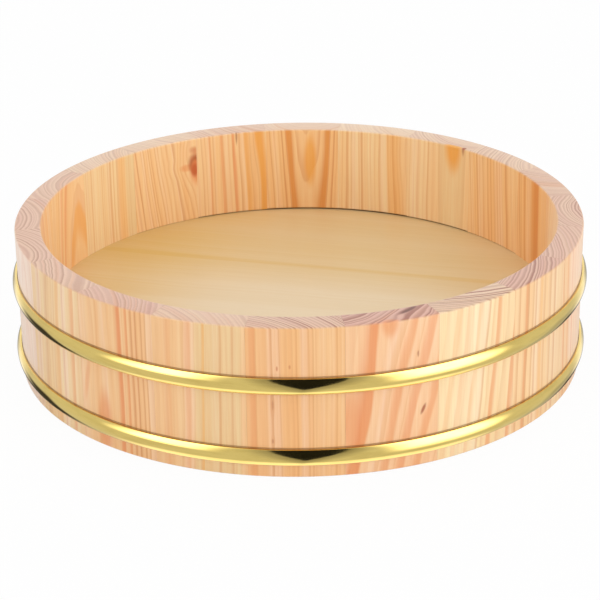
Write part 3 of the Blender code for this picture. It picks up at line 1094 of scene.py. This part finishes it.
def dark_sides(g, x, y, z):
    """The shade that the hoops' lower halves mirror beside and behind the tub, deeper at the left."""
    behind = g.product(g.ramp(y, 0.33, 0.46), g.ramp(y, 0.62, 0.76, 1.0, 0.0))
    beside = g.product(g.ramp(x, -0.2, 0.2, 0.95, 0.3), g.ramp(z, -0.38, -0.14, 1.0, 0.0))
    dark = g.product(beside, g.ramp(z, -0.80, -0.62), behind)
    low = g.math("SUBTRACT", g.math("MULTIPLY_ADD", z, 0.25, y), g.ramp(x, -0.2, 0.2, 0.42, 0.49))
    low = g.product(g.ramp(low, 0.0, 0.08, 0.0, 0.90), g.ramp(z, -0.50, -0.40, 1.0, 0.0))
    return g.math("MAXIMUM", dark, low)


def dark_slit(g, turn, rise):
    """The camera's dark slit: a wedge of half width spread x (rise - tip), with soft shade round it."""
    half = g.product(g.math("SUBTRACT", rise, SLIT_TIP), SLIT_SPREAD)
    middle = g.math("MULTIPLY_ADD", rise, SLIT_TILT, SLIT_MIDDLE)
    outside = g.math("SUBTRACT", g.math("ABSOLUTE", g.math("SUBTRACT", turn, middle)), half)
    return g.math("MAXIMUM", g.ramp(outside, -1.2, 1.2, 1.0, 0.0), g.ramp(outside, 0.0, 14.0, 0.45, 0.0))


def mirrored_room(g, studio, direction):
    """What metal sees: the pale room, two tall soft boxes, a bright foot, dark sides and a dark slit.

    Turn is the angle from the front towards +X and rise the angle above the horizon, in degrees.
    """
    x, y, z = g.split(direction)
    rise = g.math("DEGREES", g.math("ARCSINE", z))
    turn = g.math("DEGREES", g.math("ARCTAN2", x, g.math("MULTIPLY", y, -1.0)))
    level = g.ramp(z, -0.46, -0.38)
    glow = g.math("MULTIPLY_ADD", level, g.ramp(y, 0.60, 0.80, 0.0, 0.45), studio.mirror_base)
    far = g.product(g.ramp(y, 0.78, 0.89, 0.0, 0.60), g.ramp(z, -0.1, 0.1, 1.0, 0.0))
    glow = g.product(glow, g.math("SUBTRACT", 1.0, far))
    left = soft_box(g, turn, rise, *LEFT_BOX)
    right = soft_box(g, turn, rise, *RIGHT_BOX)
    boxes = g.product(g.ramp(rise, 45.0, 75.0, 1.0, 0.3), g.math("ADD", left, right))
    glow = g.math("MULTIPLY_ADD", boxes, studio.mirror_glow, glow)
    steep = g.math("MULTIPLY_ADD", g.math("ABSOLUTE", x), -0.2, z)
    glow = g.math("ADD", glow, g.ramp(steep, -0.97, -0.86, 0.58, 0.0))
    dark = g.math("MAXIMUM", dark_sides(g, x, y, z), dark_slit(g, turn, rise))
    return g.product(glow, g.math("MULTIPLY_ADD", dark, -0.98, 1.0))


def add_room(studio):
    """A pale room: white to the camera; as light, an even glow, a white back and two soft patches."""
    world = bpy.data.worlds.new("pale_room")
    g = Graph(world, "Generated")
    direction = g.vector("NORMALIZE", g.coordinates)
    glow = g.ramp(g.split(direction)["Y"], 0.25, 0.85, studio.room_glow, studio.back_glow)
    glow = g.math("MULTIPLY_ADD", patch(g, direction, *LEFT_PATCH), studio.left_glow, glow)
    glow = g.math("MULTIPLY_ADD", patch(g, direction, *RIGHT_PATCH), studio.right_glow, glow)
    path = g.nodes.new("ShaderNodeLightPath").outputs
    change = g.math("SUBTRACT", mirrored_room(g, studio, direction), glow)
    glow = g.math("MULTIPLY_ADD", path["Is Glossy Ray"], change, glow)
    white = g.math("MAXIMUM", path["Is Camera Ray"], path["Is Transmission Ray"])
    g.feed(g.nodes["Background"].inputs["Strength"], g.math("MAXIMUM", white, glow))
    g.nodes["Background"].inputs["Color"].default_value = (1.0, 1.0, 1.0, 1.0)
    bpy.context.scene.world = world


def add_floor():
    """A plain white floor that keeps a faint shadow; mirrors see the pale room below it instead."""
    mesh = bpy.data.meshes.new("floor")
    reach = FLOOR_REACH
    level = cad_low.z - FLOOR_DROP
    corners = ((-reach, -reach), (reach, -reach), (reach, reach), (-reach, reach))
    mesh.from_pydata([(*corner, level) for corner in corners], [], [(0, 1, 2, 3)])
    floor = bpy.data.objects.new("floor", mesh)
    floor.visible_glossy = False
    bpy.context.scene.collection.objects.link(floor)
    g = Graph(bpy.data.materials.new("white_floor"))
    g.finish(Base_Color=FLOOR_GREY, Roughness=0.9, Specular_IOR_Level=0.0)
    path = g.nodes.new("ShaderNodeLightPath").outputs
    white = g.nodes.new("ShaderNodeEmission")
    seen = g.math("MAXIMUM", path["Is Camera Ray"], path["Is Transmission Ray"])
    blend = g.nodes.new("ShaderNodeMixShader")
    g.feed(blend.inputs["Fac"], g.math("MULTIPLY", seen, FLOOR_GLOW))
    g.feed(blend.inputs[1], g.nodes["Principled BSDF"].outputs["BSDF"])
    g.feed(blend.inputs[2], white.outputs["Emission"])
    g.feed(g.nodes["Material Output"].inputs["Surface"], blend.outputs["Shader"])
    mesh.materials.append(g.owner)


class TUB_OT_stage(bpy.types.Operator):
    """Build the white floor, the soft lights and the camera"""

    bl_idname = "tub.stage"
    bl_label = "Studio"

    def execute(self, context):
        scene = context.scene
        studio = scene.tub_studio
        scene.view_settings.view_transform = "Standard"
        add_room(studio)
        add_floor()
        add_soft_lamp("overhead_lamp", *OVERHEAD_LAMP, studio.overhead_glow)
        add_soft_lamp("front_lamp", *FRONT_LAMP, studio.front_glow)
        add_camera(studio, scene.tub_sizes.rim)
        return {"FINISHED"}


class TUB_PT_panel(bpy.types.Panel):
    """Sizes, colours and build steps of the rice tub"""

    bl_idname = "TUB_PT_panel"
    bl_label = "Rice tub"
    bl_space_type = "VIEW_3D"
    bl_region_type = "UI"
    bl_category = "Rice tub"

    def draw(self, context):
        layout = self.layout
        for step in STEPS:
            layout.operator(step.bl_idname)
        for group in (context.scene.tub_sizes, context.scene.tub_colours, context.scene.tub_studio):
            for name in group.__annotations__:
                layout.prop(group, name)


STEPS = (TUB_OT_staves, TUB_OT_pegs, TUB_OT_board, TUB_OT_hoops, TUB_OT_stage)
CLASSES = (TubSizes, TubColours, StudioSettings, *STEPS, TUB_PT_panel)


def register():
    for item in CLASSES:
        bpy.utils.register_class(item)
    bpy.types.Scene.tub_sizes = PointerProperty(type=TubSizes)
    bpy.types.Scene.tub_colours = PointerProperty(type=TubColours)
    bpy.types.Scene.tub_studio = PointerProperty(type=StudioSettings)


def unregister():
    del bpy.types.Scene.tub_studio
    del bpy.types.Scene.tub_colours
    del bpy.types.Scene.tub_sizes
    for item in reversed(CLASSES):
        bpy.utils.unregister_class(item)


def main():
    register()
    bpy.ops.tub.staves()
    bpy.ops.tub.pegs()
    bpy.ops.tub.board()
    bpy.ops.tub.hoops()
    bpy.ops.tub.stage()


if __name__ == "__main__":
    main()
